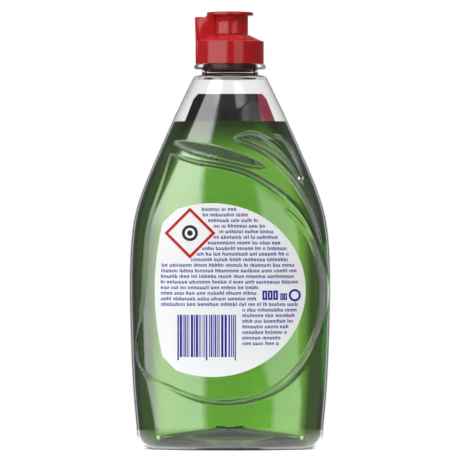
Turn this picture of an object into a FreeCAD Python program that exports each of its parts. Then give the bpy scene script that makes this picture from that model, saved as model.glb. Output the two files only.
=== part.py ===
import FreeCAD, Part
import math
import os

# Dish soap bottle, 350 ml: a clear blown bottle, its liquid, two film labels and a push-pull closure.
# Millimetres, +Z up, origin at the middle of the base. The back label faces -Y, the thumb guard -X.

# Bottle body
SHOULDER_TOP_Z = 160.2       # height of the body, from the base to the flat under the neck
SHOULDER_R = 15.6            # the body is round here
SHOULDER_EDGE_R = 1.3
BELLY_HALF_WIDTH = 42.9
BELLY_HALF_DEPTH = 21.3
BELLY_LOW_Z = 50.0           # the belly is widest from here
BELLY_HIGH_Z = 85.0          # to here
BASE_HALF_WIDTH = 39.4
BASE_HALF_DEPTH = 19.2
BASE_EDGE_R = 5.5
BELLY_SQUARENESS = 2.35      # 2 is an ellipse
WALL = 0.5
FLOOR_WALL = 0.9
SHOULDER_CURVE = ((0.22, 0.08), (0.39, 0.235), (0.56, 0.435), (0.75, 0.67))  # (share of rise, of taper)
BASE_CURVE = ((0.5, 0.67),)
SECTION_POINTS = 20

# Push-up in the base, which leaves an oval ring to stand on
PUSH_HALF_WIDTH = 32.0
PUSH_HALF_DEPTH = 12.4
PUSH_WALL_RISE = 4.6
PUSH_CONE_RISE = 8.2
PUSH_BOSS_RISE = 9.1
PUSH_BOSS_R = 4.6
PUSH_BOSS_SPREAD = 0.8       # the boss is this much wider at its foot
PUSH_BOSS_SINK = 0.5         # and reaches this far into the cone
PUSH_CONE_TOP_HALF_WIDTH = 6.6
PUSH_CONE_TOP_HALF_DEPTH = 5.3
PUSH_WALL_TAPER = 0.92       # top of the steep wall to its foot
FOOT_CHANNEL_HALF_WIDTH = 11.5   # shallow channel between the feet, front to back
FOOT_CHANNEL_RISE = 0.35

# Neck
NECK_R = 12.05
NECK_FLARE_R = 1.2
NECK_BORE_R = 10.6
RING_GAP = 2.7               # shoulder top to the underside of the transfer ring
RING_HEIGHT = 2.1
RING_R = 15.4
RING_EDGE_R = 0.6
FINISH_HEIGHT = 8.2          # ring to the rim of the mouth
BEAD_R = 13.05
BEAD_HEIGHT = 1.5
BEAD_BELOW_RIM = 4.6

# Swoosh ridges and the label panel on the back wall, as (across, height) points
PANEL_DEPTH = 0.45
RIM_POINTS = ((-24.7, 131.3), (-18.1, 123.3), (-4.6, 120.9), (6.3, 117.9), (17.1, 111.9), (28.0, 102.2),
              (35.8, 88.0), (39.9, 70.5), (38.0, 53.0), (28.0, 33.8), (19.9, 26.7), (7.7, 22.0),
              (-4.6, 20.8), (-17.0, 23.2), (-29.0, 28.6))
PANEL_LEFT_POINTS = ((-35.0, 31.0), (-37.4, 64.1), (-34.6, 98.0))   # and on to the rim's upper tip
PANEL_TIP_SHARE = 0.03       # the panel ends this share of the rim's length inside its tips
LEAF_POINTS = ((-24.7, 131.0), (-14.5, 128.6), (-4.6, 126.9), (5.5, 124.3), (15.0, 120.6))
BLADE_POINTS = ((1.4, 132.5), (11.7, 128.2), (20.4, 122.0), (28.0, 113.5), (35.0, 101.0), (39.2, 86.0))
UPPER_BLADE_POINTS = ((1.6, 132.9), (9.0, 134.0), (16.5, 130.8), (24.5, 123.2), (31.5, 111.5))
FIN_POINTS = ((18.3, 134.2), (22.6, 132.2), (26.8, 126.5), (31.0, 114.5))
INNER_POINTS = ((23.0, 103.4), (30.5, 96.0), (36.4, 85.6), (38.2, 76.6))
RIDGE_HEIGHT = 0.9
RIM_HALF_WIDTH = 1.3
LEAF_HALF_WIDTH = 2.3
BLADE_HALF_WIDTH = 1.0
FIN_HALF_WIDTH = 0.8
SWOOSH_BLUNTNESS = 0.6       # under 1 keeps the width nearer to the tips

# Liquid
FILL_Z = 140.0
LIQUID_GAP = 0.02            # film of clearance between the liquid's solid and the wall

# Labels, both of them film laid on the wall
FILM = 0.1
FILM_GAP = 0.02
LABEL_CENTRE_X = -7.7        # the back label's right side is an ellipse about this centre
LABEL_CENTRE_Z = 68.3
LABEL_HALF_WIDTH = 40.0
LABEL_HALF_HEIGHT = 37.0
LABEL_LEFT_X = -32.1         # and its left side an arc
LABEL_LEFT_R = 121.6
LABEL_CORNER_R = 4.0
FRONT_LABEL_TOP_Z = 153.3
FRONT_LABEL_TOP_HALF_WIDTH = 15.4
FRONT_LABEL_SHOULDER_Z = 118.0
FRONT_LABEL_SHOULDER_HALF_WIDTH = 29.5
FRONT_LABEL_BOTTOM_Z = 32.0
FRONT_LABEL_FOOT_RISE = 10.0
FRONT_LABEL_CORNER_R = 3.0

# Cap base
SKIRT_R = 14.6
SKIRT_HEIGHT = 9.7
SKIRT_GAP = 0.15             # over the transfer ring
SKIRT_WALL = 1.2
SKIRT_EDGE_R = 0.5
SKIRT_BEAD_GAP = 0.15        # snap bead to the neck's bead, across and below
SKIRT_BEAD_IN = 0.75
SKIRT_BEAD_HEIGHT = 1.4
DECK_R = 7.8                 # flat top of the sloped deck
DECK_RISE = 3.1
DECK_WALL = 1.3
DECK_RIM_GAP = 0.2           # deck's underside over the rim of the mouth
PLUG_GAP = 0.05
PLUG_WALL = 1.0
PLUG_LENGTH = 10.6
PLUG_LEAD = 0.6              # chamfer at its tip
GUARD_HALF_WIDTH = 4.75
GUARD_OUT_X = 15.1           # the thumb guard's outer face at its top
GUARD_FOOT_X = 14.8          # and at the skirt
GUARD_TOP_GAP = 0.7          # under the finger disc
GUARD_STEP_X = 10.4          # a raised step nearer the spout
GUARD_STEP_GAP = 0.15
GUARD_SPOUT_GAP = 0.3
GUARD_EDGE_R = 0.5

# Chimney
CHIMNEY_R = 5.0
CHIMNEY_WALL = 1.0
CHIMNEY_BEAD_OUT = 0.25
CHIMNEY_BEAD_HEIGHT = 0.8
CHIMNEY_ROOF = 1.0
WINDOW_COUNT = 3
WINDOW_WEB = 1.1
PIN_R = 1.6
PIN_BELOW_TOP = 0.35         # pin's tip under the disc's rim

# Pull spout
SPOUT_TRAVEL = 4.4           # up, until its guide meets the chimney's bead
SPOUT_GAP = 0.05             # running clearance on the chimney and at the pin
SPOUT_SEAT_GAP = 0.1         # over the deck
SPOUT_R = 7.8
SPOUT_WALL = 1.2
SPOUT_HEIGHT = 8.0           # deck to the underside of the disc
SLEEVE_WALL = 0.8
SLEEVE_GUIDE_HEIGHT = 0.8
GROOVE_BELOW_DISC = 3.75
GROOVE_DEPTH = 0.22
DISC_R = 10.05
DISC_THICKNESS = 1.45
DISC_EDGE_R = 0.4
DISC_CROWN = 0.45

# Heights that follow
RING_LOW_Z = SHOULDER_TOP_Z + RING_GAP
RING_TOP_Z = RING_LOW_Z + RING_HEIGHT
RIM_Z = RING_TOP_Z + FINISH_HEIGHT
BEAD_TOP_Z = RIM_Z - BEAD_BELOW_RIM
SKIRT_LOW_Z = RING_TOP_Z + SKIRT_GAP
SKIRT_TOP_Z = SKIRT_LOW_Z + SKIRT_HEIGHT
DECK_Z = SKIRT_TOP_Z + DECK_RISE
SPOUT_LOW_Z = DECK_Z + SPOUT_SEAT_GAP
DISC_LOW_Z = DECK_Z + SPOUT_HEIGHT
DISC_TOP_Z = DISC_LOW_Z + DISC_THICKNESS
CROWN_Z = DISC_TOP_Z + DISC_CROWN
CHIMNEY_BEAD_LOW_Z = SPOUT_LOW_Z + 2 * SLEEVE_GUIDE_HEIGHT + SPOUT_TRAVEL + SPOUT_GAP
CHIMNEY_TOP_Z = CHIMNEY_BEAD_LOW_Z + CHIMNEY_BEAD_HEIGHT
ROOF_LOW_Z = CHIMNEY_TOP_Z - CHIMNEY_ROOF

AXIS = FreeCAD.Vector(0, 0, 1)
ORIGIN = FreeCAD.Vector(0, 0, 0)
TINY = 0.001
ROUND = 2.0                  # squareness of a true ellipse


def vec(x, y, z):
    return FreeCAD.Vector(x, y, z)


def closed_section(z, half_width, half_depth, squareness):
    """An oval wire at height z: a superellipse with its seam on the guard's side."""
    points = []
    for i in range(SECTION_POINTS):
        angle = math.pi + 2 * math.pi * i / SECTION_POINTS
        c, s = math.cos(angle), math.sin(angle)
        x = math.copysign(abs(c) ** (2 / squareness), c) * half_width
        y = math.copysign(abs(s) ** (2 / squareness), s) * half_depth
        points.append(vec(x, y, z))
    curve = Part.BSplineCurve()
    curve.interpolate(Points=points, PeriodicFlag=True)
    return Part.Wire(curve.toShape())


def blend(a, b, share):
    return a + (b - a) * share


def taper_rows(low, high, curve):
    """Rows between two rows, at the curve's shares of the rise and of the taper."""
    rows = []
    for rise, taper in curve:
        sizes = [blend(a, b, taper) for a, b in zip(low[1:], high[1:])]
        rows.append((blend(low[0], high[0], rise), *sizes))
    return rows


def body_rows():
    """(height, half width, half depth, squareness) of the body's outside, from the base up."""
    base = (0.0, BASE_HALF_WIDTH, BASE_HALF_DEPTH, BELLY_SQUARENESS)
    belly = (BELLY_LOW_Z, BELLY_HALF_WIDTH, BELLY_HALF_DEPTH, BELLY_SQUARENESS)
    belly_top = (BELLY_HIGH_Z, *belly[1:])
    top = (SHOULDER_TOP_Z, SHOULDER_R, SHOULDER_R, ROUND)
    return [base, *taper_rows(base, belly, BASE_CURVE), belly,
            belly_top, *taper_rows(belly_top, top, SHOULDER_CURVE), top]


def oval_body(inset, floor, top_drop):
    """The body's form, moved in by inset, standing on floor and ending top_drop under the shoulder's top."""
    rows = body_rows()
    top = SHOULDER_TOP_Z - top_drop
    rows[0] = (floor, *rows[0][1:])
    rows[-1] = (top, *rows[-1][1:])
    body = Part.makeLoft([closed_section(z, a - inset, b - inset, n) for z, a, b, n in rows], True, False)
    foot_edges = [e for e in body.Edges if abs(e.BoundBox.ZMax - floor) < TINY]
    body = body.makeFillet(BASE_EDGE_R - inset, foot_edges)
    top_edges = [e for e in body.Edges if abs(e.BoundBox.ZMin - top) < TINY]
    return body.makeFillet(SHOULDER_EDGE_R - inset, top_edges)


def push_up(grow, rise):
    """The hollow under the base: steep oval wall, shallow cone, and a small boss at its middle."""
    rim_a = PUSH_HALF_WIDTH + grow
    rim_b = PUSH_HALF_DEPTH + grow
    wall_top = closed_section(rise + PUSH_WALL_RISE, rim_a * PUSH_WALL_TAPER, rim_b * PUSH_WALL_TAPER, ROUND)
    cone_top = closed_section(rise + PUSH_CONE_RISE, PUSH_CONE_TOP_HALF_WIDTH + grow,
                              PUSH_CONE_TOP_HALF_DEPTH + grow, ROUND)
    wall = Part.makeLoft([closed_section(-2 * FLOOR_WALL, rim_a, rim_b, ROUND), wall_top], True, True)
    cone = Part.makeLoft([wall_top, cone_top], True, True)
    boss_low = rise + PUSH_CONE_RISE - PUSH_BOSS_SINK
    boss_r = PUSH_BOSS_R + grow
    boss_height = rise + PUSH_BOSS_RISE - boss_low
    boss = Part.makeCone(boss_r + PUSH_BOSS_SPREAD, boss_r, boss_height, vec(0, 0, boss_low))
    return wall.fuse(cone).fuse(boss)


def foot_channel():
    """A shallow channel across the base, front to back, which leaves the feet at its two sides."""
    half = FOOT_CHANNEL_HALF_WIDTH
    slope = 6 * FOOT_CHANNEL_RISE
    reach = 2 * BELLY_HALF_DEPTH
    points = [vec(-half - slope, -reach, -TINY), vec(-half, -reach, FOOT_CHANNEL_RISE),
              vec(half, -reach, FOOT_CHANNEL_RISE), vec(half + slope, -reach, -TINY)]
    outline = Part.makePolygon(points + [points[0]])
    return Part.Face(outline).extrude(vec(0, 2 * reach, 0))


def spline(points):
    curve = Part.BSplineCurve()
    curve.interpolate(Points=points)
    return curve


def swoosh(points, half_width):
    """A crescent face in the XZ plane: it swells along the curve and comes to a tip at both ends."""
    path = spline([vec(x, 0, z) for x, z in points])
    last = 2 * len(points) - 2
    over, under = [], []
    for i in range(last + 1):
        share = i / last
        at = blend(path.FirstParameter, path.LastParameter, share)
        middle, along = path.value(at), path.tangent(at)[0]
        across = vec(-along.z, 0, along.x) * (half_width * math.sin(math.pi * share) ** SWOOSH_BLUNTNESS)
        over.append(middle + across)
        under.append(middle - across)
    return Part.Face(Part.Wire([spline(over).toShape(), spline(under).toShape()]))


def panel_face():
    """Outline of the recessed panel: the rim swoosh's middle line on the right, a long curve on the left."""
    rim = spline([vec(x, 0, z) for x, z in RIM_POINTS])
    start = blend(rim.FirstParameter, rim.LastParameter, PANEL_TIP_SHARE)
    end = blend(rim.FirstParameter, rim.LastParameter, 1 - PANEL_TIP_SHARE)
    left = [vec(x, 0, z) for x, z in PANEL_LEFT_POINTS] + [rim.value(start)]
    foot = Part.makeLine(rim.value(end), left[0])
    return Part.Face(Part.Wire([rim.toShape(start, end), foot, spline(left).toShape()]))


def ridges():
    """The embossed swooshes of the back wall, as solids that reach into the body."""
    crescents = [
        swoosh(RIM_POINTS, RIM_HALF_WIDTH), swoosh(LEAF_POINTS, LEAF_HALF_WIDTH),
        swoosh(BLADE_POINTS, BLADE_HALF_WIDTH), swoosh(UPPER_BLADE_POINTS, BLADE_HALF_WIDTH),
        swoosh(FIN_POINTS, FIN_HALF_WIDTH), swoosh(INNER_POINTS, FIN_HALF_WIDTH)]
    lifted = oval_body(-RIDGE_HEIGHT, 0, 0)
    return [face.extrude(vec(0, -2 * BELLY_HALF_DEPTH, 0)).common(lifted) for face in crescents]


def body_form(inset, floor, top_drop):
    """The blown body with its recessed panel, as a solid moved in by inset from the outside."""
    form = oval_body(inset, floor, top_drop)
    reach = 2 * BELLY_HALF_DEPTH
    tool = panel_face().extrude(vec(0, -reach, 0)).cut(oval_body(inset + PANEL_DEPTH, floor, top_drop))
    return form.cut(tool)


def ring_edges(shape, z, radius):
    """Edges that are whole circles of this radius at this height."""
    found = []
    for edge in shape.Edges:
        box = edge.BoundBox
        if abs(box.ZMin - z) < TINY and abs(box.ZMax - z) < TINY and abs(box.XMax - radius) < TINY:
            found.append(edge)
    return found


def revolved(points):
    """A solid turned about Z from a closed outline of (radius, height) points."""
    outline = [vec(r, 0, z) for r, z in points]
    return Part.Face(Part.makePolygon(outline + [outline[0]])).revolve(ORIGIN, AXIS, 360)


def make_neck():
    """Neck, transfer ring and snap finish, still without their bore."""
    low = SHOULDER_TOP_Z - FLOOR_WALL
    flare = NECK_FLARE_R
    middle = flare * (1 - math.sqrt(0.5))
    foot = vec(NECK_R + flare, 0, SHOULDER_TOP_Z)
    side = vec(NECK_R, 0, SHOULDER_TOP_Z + flare)
    bend = Part.Arc(foot, vec(NECK_R + middle, 0, SHOULDER_TOP_Z + middle), side).toShape()
    rest = Part.makePolygon([side, vec(NECK_R, 0, RING_LOW_Z), vec(0, 0, RING_LOW_Z), vec(0, 0, low),
                             vec(NECK_R + flare, 0, low), foot])
    neck = Part.Face(Part.Wire([bend] + rest.Edges)).revolve(ORIGIN, AXIS, 360)
    ring = revolved([(0, RING_LOW_Z), (RING_R, RING_LOW_Z), (RING_R, RING_TOP_Z), (0, RING_TOP_Z)])
    sharp = ring_edges(ring, RING_LOW_Z, RING_R) + ring_edges(ring, RING_TOP_Z, RING_R)
    ring = ring.makeFillet(RING_EDGE_R, sharp)
    bead_low_z = BEAD_TOP_Z - BEAD_HEIGHT
    finish = revolved([
        (0, RING_TOP_Z), (NECK_R, RING_TOP_Z), (NECK_R, bead_low_z), (BEAD_R, bead_low_z),
        (BEAD_R, BEAD_TOP_Z - BEAD_HEIGHT / 2), (NECK_R, BEAD_TOP_Z), (NECK_R, RIM_Z), (0, RIM_Z)])
    return neck.fuse(ring).fuse(finish)


def make_bottle():
    outside = body_form(0, 0, 0).multiFuse(ridges() + [make_neck()])
    outside = outside.cut(push_up(0, 0)).cut(foot_channel())
    cavity = body_form(WALL, FLOOR_WALL, FLOOR_WALL).cut(push_up(FLOOR_WALL, FLOOR_WALL))
    bore_low = SHOULDER_TOP_Z - 2 * FLOOR_WALL
    bore = Part.makeCylinder(NECK_BORE_R, RIM_Z - bore_low + 1, vec(0, 0, bore_low))
    return outside.cut(cavity.fuse(bore))


def make_dish_soap():
    """The liquid fills the body up to the fill line."""
    inset = WALL + LIQUID_GAP
    floor = FLOOR_WALL + LIQUID_GAP
    liquid = body_form(inset, floor, floor).cut(push_up(floor, floor))
    above = Part.makeBox(4 * BELLY_HALF_WIDTH, 4 * BELLY_HALF_DEPTH, SHOULDER_TOP_Z,
                         vec(-2 * BELLY_HALF_WIDTH, -2 * BELLY_HALF_DEPTH, FILL_Z))
    return liquid.cut(above)


def film(outline, side, seat_inset):
    """Film of even thickness on the wall, cut to a flat outline: side -1 is the back, 1 the front."""
    over = oval_body(seat_inset - FILM_GAP - FILM, 0, 0)
    under = oval_body(seat_inset - FILM_GAP, 0, 0)
    slab = outline.extrude(vec(0, side * 2 * BELLY_HALF_DEPTH, 0))
    return slab.common(over).cut(under)


def rounded(face, radius):
    """The flat face with its corners rounded."""
    block = face.extrude(vec(0, 1, 0))
    upright = [e for e in block.Edges if abs(e.Length - 1) < TINY and e.BoundBox.YLength > 1 - TINY]
    block = block.makeFillet(radius, upright)
    return [f for f in block.Faces if f.BoundBox.YMax < TINY][0]


def back_label_face():
    """D-shaped outline: an ellipse on the right, cut off by a long arc on the left."""
    centre = vec(LABEL_CENTRE_X, 0, LABEL_CENTRE_Z)
    side, top = vec(LABEL_HALF_WIDTH, 0, 0), vec(0, 0, LABEL_HALF_HEIGHT)
    ellipse = Part.Ellipse(centre + side, centre + top, centre)
    oval = Part.Face(Part.Wire(ellipse.toShape()))
    left_centre = vec(LABEL_LEFT_X + LABEL_LEFT_R, 0, LABEL_CENTRE_Z)
    disc = Part.Face(Part.Wire(Part.makeCircle(LABEL_LEFT_R, left_centre, vec(0, 1, 0))))
    return oval.common(disc).Faces[0]


def front_label_face():
    """A head that widens with the shoulder over a body with a curved foot."""
    top, shoulder = FRONT_LABEL_TOP_HALF_WIDTH, FRONT_LABEL_SHOULDER_HALF_WIDTH
    foot_z = FRONT_LABEL_BOTTOM_Z + FRONT_LABEL_FOOT_RISE
    sides = Part.makePolygon([
        vec(-shoulder, 0, foot_z), vec(-shoulder, 0, FRONT_LABEL_SHOULDER_Z), vec(-top, 0, FRONT_LABEL_TOP_Z),
        vec(top, 0, FRONT_LABEL_TOP_Z), vec(shoulder, 0, FRONT_LABEL_SHOULDER_Z), vec(shoulder, 0, foot_z)])
    foot = Part.Arc(vec(shoulder, 0, foot_z), vec(0, 0, FRONT_LABEL_BOTTOM_Z), vec(-shoulder, 0, foot_z))
    return Part.Face(Part.Wire(sides.Edges + [foot.toShape()]))


def make_back_label():
    return film(rounded(back_label_face(), LABEL_CORNER_R), -1, PANEL_DEPTH)


def make_front_label():
    return film(rounded(front_label_face(), FRONT_LABEL_CORNER_R), 1, 0)


def make_guard():
    """The thumb guard: a block from the spout out to the skirt, its outer face running on down the skirt."""
    half = GUARD_HALF_WIDTH
    guard_top = DISC_LOW_Z - GUARD_TOP_GAP
    step_top = DISC_LOW_Z - GUARD_STEP_GAP
    inner = -DECK_R / 2
    profile = Part.makePolygon([
        vec(-GUARD_FOOT_X, -half, SKIRT_LOW_Z), vec(-GUARD_FOOT_X, -half, SKIRT_TOP_Z),
        vec(-GUARD_OUT_X, -half, guard_top), vec(-GUARD_STEP_X, -half, guard_top),
        vec(-GUARD_STEP_X, -half, step_top), vec(inner, -half, step_top), vec(inner, -half, SKIRT_LOW_Z),
        vec(-GUARD_FOOT_X, -half, SKIRT_LOW_Z)])
    block = Part.Face(profile).extrude(vec(0, 2 * half, 0))
    outer = [e for e in block.Edges if e.BoundBox.XMax < -GUARD_FOOT_X + TINY]
    block = block.makeFillet(GUARD_EDGE_R, outer)
    beside = Part.makeCylinder(SPOUT_R + GUARD_SPOUT_GAP, 2 * SPOUT_HEIGHT, vec(0, 0, DECK_Z))
    return block.cut(shell_core()).cut(beside)


def deck_z_at(radius):
    """Height of the sloped deck's top surface."""
    slope = DECK_RISE / (SKIRT_R - DECK_R)
    return DECK_Z - max(radius - DECK_R, 0) * slope


def shell_core():
    """The room inside the shell, up to half a wall into it, which the guard's block must leave free."""
    drop = DECK_WALL / 2
    side = SKIRT_R - SKIRT_WALL / 2
    return revolved([(0, SKIRT_LOW_Z), (side, SKIRT_LOW_Z), (side, deck_z_at(side) - drop),
                     (DECK_R, DECK_Z - drop), (0, DECK_Z - drop)])


def make_shell():
    """Skirt, sloped deck, sealing plug and chimney wall, all turned about the axis."""
    skirt_in = SKIRT_R - SKIRT_WALL
    plug_r = NECK_BORE_R - PLUG_GAP
    under_rim = RIM_Z + DECK_RIM_GAP
    bead_in = BEAD_R - SKIRT_BEAD_IN + SKIRT_BEAD_GAP
    bead_top = BEAD_TOP_Z - BEAD_HEIGHT - SKIRT_BEAD_GAP
    bead_low = bead_top - SKIRT_BEAD_HEIGHT
    bore = CHIMNEY_R - CHIMNEY_WALL
    plug_tip = under_rim - PLUG_LENGTH
    plug_in = plug_r - PLUG_WALL
    deck_low = DECK_Z - DECK_WALL
    chimney_bead_r = CHIMNEY_R + CHIMNEY_BEAD_OUT
    bead_chamfer = SKIRT_BEAD_HEIGHT / 3
    outline = [
        (SKIRT_R, SKIRT_LOW_Z), (SKIRT_R, SKIRT_TOP_Z), (DECK_R, DECK_Z), (CHIMNEY_R, DECK_Z),
        (CHIMNEY_R, CHIMNEY_BEAD_LOW_Z), (chimney_bead_r, CHIMNEY_BEAD_LOW_Z),
        (chimney_bead_r, CHIMNEY_TOP_Z - CHIMNEY_BEAD_HEIGHT / 3), (CHIMNEY_R, CHIMNEY_TOP_Z),
        (0, CHIMNEY_TOP_Z), (0, ROOF_LOW_Z), (bore, ROOF_LOW_Z), (bore, deck_low),
        (DECK_R - DECK_WALL / 2, deck_low), (plug_in, deck_z_at(plug_in) - DECK_WALL), (plug_in, plug_tip),
        (plug_r - PLUG_LEAD, plug_tip), (plug_r, plug_tip + 2 * PLUG_LEAD), (plug_r, under_rim),
        (skirt_in, under_rim), (skirt_in, bead_top), (bead_in, bead_top - bead_chamfer),
        (bead_in, bead_low + bead_chamfer), (skirt_in, bead_low), (skirt_in, SKIRT_LOW_Z)]
    shell = revolved(outline)
    return shell.makeFillet(SKIRT_EDGE_R, ring_edges(shell, SKIRT_TOP_Z, SKIRT_R))


def make_windows():
    """The flow windows through the chimney's roof: a ring slot, less the webs that carry the pin."""
    height = 2 * CHIMNEY_ROOF
    low = vec(0, 0, ROOF_LOW_Z - CHIMNEY_ROOF / 2)
    slot = Part.makeCylinder(CHIMNEY_R - CHIMNEY_WALL, height, low)
    slot = slot.cut(Part.makeCylinder(PIN_R + SPOUT_GAP, height, low))
    for i in range(WINDOW_COUNT):
        web = Part.makeBox(CHIMNEY_R, WINDOW_WEB, height, low - vec(0, WINDOW_WEB / 2, 0))
        web.rotate(ORIGIN, AXIS, 360 * (i + 0.5) / WINDOW_COUNT)
        slot = slot.cut(web)
    return slot


def make_cap_base():
    """Closure base: the turned shell with its thumb guard, flow windows and shut-off pin."""
    tip_z = DISC_TOP_Z - PIN_BELOW_TOP
    pin = Part.makeCylinder(PIN_R, tip_z - ROOF_LOW_Z, vec(0, 0, ROOF_LOW_Z))
    pin = pin.makeFillet(PIN_R / 3, ring_edges(pin, tip_z, PIN_R))
    return make_shell().fuse(make_guard()).cut(make_windows()).fuse(pin).removeSplitter()


def make_pull_spout():
    """Push-pull spout: crowned finger disc, outer wall, and an inner sleeve guided by the chimney."""
    sleeve_r = CHIMNEY_R + CHIMNEY_BEAD_OUT + SPOUT_GAP
    guide_r = CHIMNEY_R + SPOUT_GAP
    sleeve_out = sleeve_r + SLEEVE_WALL
    wall_in = SPOUT_R - SPOUT_WALL
    hole_r = PIN_R + SPOUT_GAP
    crown_r = DISC_R - DISC_EDGE_R
    groove_z = DISC_LOW_Z - GROOVE_BELOW_DISC
    guide_top = SPOUT_LOW_Z + SLEEVE_GUIDE_HEIGHT
    profile = [
        (hole_r, DISC_LOW_Z), (sleeve_r, DISC_LOW_Z), (sleeve_r, guide_top + SLEEVE_GUIDE_HEIGHT),
        (guide_r, guide_top), (guide_r, SPOUT_LOW_Z), (sleeve_out, SPOUT_LOW_Z), (sleeve_out, DISC_LOW_Z),
        (wall_in, DISC_LOW_Z), (wall_in, SPOUT_LOW_Z), (SPOUT_R, SPOUT_LOW_Z),
        (SPOUT_R, groove_z - GROOVE_DEPTH), (SPOUT_R - GROOVE_DEPTH, groove_z),
        (SPOUT_R, groove_z + GROOVE_DEPTH), (SPOUT_R, DISC_LOW_Z), (crown_r, DISC_LOW_Z)]
    outline = Part.makePolygon([vec(r, 0, z) for r, z in profile])
    side_low = DISC_LOW_Z + DISC_EDGE_R
    side_top = DISC_TOP_Z - DISC_EDGE_R
    half_r = (crown_r + hole_r) / 2
    hole_top = vec(hole_r, 0, crown_z_at(hole_r))
    crown = Part.Arc(vec(crown_r, 0, DISC_TOP_Z), vec(half_r, 0, crown_z_at(half_r)), hole_top)
    side = Part.makeLine(vec(DISC_R, 0, side_low), vec(DISC_R, 0, side_top))
    hole = Part.makeLine(hole_top, vec(hole_r, 0, DISC_LOW_Z))
    rims = rim_arc(DISC_R, side_low, DISC_EDGE_R, -1), rim_arc(DISC_R, side_top, DISC_EDGE_R, 1)
    edges = outline.Edges + [rims[0], side, rims[1], crown.toShape(), hole]
    return Part.Face(Part.Wire(edges)).revolve(ORIGIN, AXIS, 360)


def rim_arc(radius, z, edge_r, way):
    """Quarter round of a disc's rim in the XZ plane: way -1 runs from the flat to the side, 1 runs back."""
    diagonal = edge_r * math.sqrt(0.5)
    flat = vec(radius - edge_r, 0, z + way * edge_r)
    middle = vec(radius - edge_r + diagonal, 0, z + way * diagonal)
    side = vec(radius, 0, z)
    ends = (flat, middle, side) if way < 0 else (side, middle, flat)
    return Part.Arc(*ends).toShape()


def crown_z_at(radius):
    """Height of the finger disc's crowned top."""
    return CROWN_Z - DISC_CROWN * (radius / (DISC_R - DISC_EDGE_R)) ** 2


def main():
    os.makedirs("parts", exist_ok=True)
    nodes = {
        "bottle": make_bottle(), "dish_soap": make_dish_soap(), "back_label": make_back_label(),
        "front_label": make_front_label(), "cap_base": make_cap_base(), "pull_spout": make_pull_spout()}
    for name, shape in nodes.items():
        shape.exportStep(f"parts/{name}.step")
        print(name, shape.isValid(), len(shape.Solids), round(shape.Volume / 1000, 2), "ml")


main()
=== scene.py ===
"""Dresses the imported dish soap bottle: clear wall, green liquid, printed films, red closure and studio."""

import math
import random

import bmesh
import bpy
import numpy as np
from bpy.props import FloatProperty, FloatVectorProperty, IntProperty, PointerProperty
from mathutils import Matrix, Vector
from mathutils.geometry import delaunay_2d_cdt


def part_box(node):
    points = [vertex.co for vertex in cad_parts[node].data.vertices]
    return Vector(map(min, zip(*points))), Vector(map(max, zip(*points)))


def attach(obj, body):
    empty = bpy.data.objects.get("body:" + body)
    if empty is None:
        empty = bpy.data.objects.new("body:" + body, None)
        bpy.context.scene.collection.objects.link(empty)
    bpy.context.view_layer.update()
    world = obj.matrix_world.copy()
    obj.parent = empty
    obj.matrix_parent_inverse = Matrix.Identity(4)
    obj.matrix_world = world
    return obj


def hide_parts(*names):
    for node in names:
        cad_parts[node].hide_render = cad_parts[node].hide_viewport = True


bl_info = {
    "name": "Dish Soap Bottle",
    "version": (1, 0, 0),
    "blender": (4, 5, 0),
    "location": "3D View > Sidebar > Dish Soap",
    "description": "Clear bottle of green dish soap with printed film labels and a red push-pull closure",
    "category": "Add Mesh",
}

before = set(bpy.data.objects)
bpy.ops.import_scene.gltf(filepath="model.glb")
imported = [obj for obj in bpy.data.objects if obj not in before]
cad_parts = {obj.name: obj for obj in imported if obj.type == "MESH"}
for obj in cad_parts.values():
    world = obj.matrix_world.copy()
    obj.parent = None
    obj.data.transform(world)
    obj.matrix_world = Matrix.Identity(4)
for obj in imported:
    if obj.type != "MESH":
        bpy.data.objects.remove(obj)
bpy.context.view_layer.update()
MM = 0.001
FILL_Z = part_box("dish_soap")[1][2] / MM

# Sizes are in mm, except in the settings and where a comment says metres

# Body outside, from the base up: height, half width, half depth and squareness, where 2 is an ellipse
BODY_ROWS = (
    (0.0, 39.4, 19.2, 2.35), (25.0, 41.75, 20.61, 2.35), (50.0, 42.9, 21.3, 2.35), (85.0, 42.9, 21.3, 2.35),
    (101.54, 40.72, 20.84, 2.322), (114.33, 36.48, 19.96, 2.268), (127.11, 31.02, 18.82, 2.198),
    (141.4, 24.61, 17.48, 2.116), (160.2, 15.6, 15.6, 2.0))
BASE_EDGE_R = 5.5
SHOULDER_EDGE_R = 1.3
LEAST_EDGE_R = 0.3
BELLY_Z = 67.0
# Hollow under the base, from its foot to its boss, as (half width, half depth, height)
PUSH_UP = ((32.0, 12.4, 0.0), (30.7, 11.9, 2.3), (29.4, 11.4, 4.6), (6.6, 5.3, 8.2), (5.0, 4.7, 8.3),
           (4.6, 4.6, 9.1))
FOOT_CHANNEL_HALF_WIDTH = 12.5
FOOT_CHANNEL_RISE = 0.35
FOOT_CHANNEL_SIDE = 2.0      # width of its sloped side
FOOT_CHANNEL_REACH = 3.0     # height up to which the foot is lifted with it
# Neck, ring and finish as (radius, height)
NECK = ((14.2, 160.2), (13.25, 160.2), (12.75, 160.4), (12.35, 160.75), (12.05, 161.4), (12.05, 162.9),
        (14.8, 162.9), (15.22, 163.07), (15.4, 163.5), (15.4, 164.4), (15.22, 164.83), (14.8, 165.0),
        (12.05, 165.0), (12.05, 167.1), (13.05, 167.1), (13.05, 167.85), (12.05, 168.6), (12.05, 172.9),
        (11.8, 173.2), (10.85, 173.2), (10.6, 172.9), (10.6, 161.0))
NECK_LOW_Z = 160.3           # faces above it have the neck's finish
PLUG_TOP_Z = 165.0           # closure faces below it have the plug's finish with painted shade
PLUG_PAINTED_SHADE = 0.12            # colour of the plug's painted shade to the closure's

# Columns of the wall and the liquid on their back and front halves, and steps between their rings
WALL_COLUMNS = (210, 54)
LIQUID_COLUMNS = (150, 60)
WALL_STEP = 0.56
WALL_INSIDE_STEP = 3.5
LIQUID_STEP = 1.5
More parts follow.
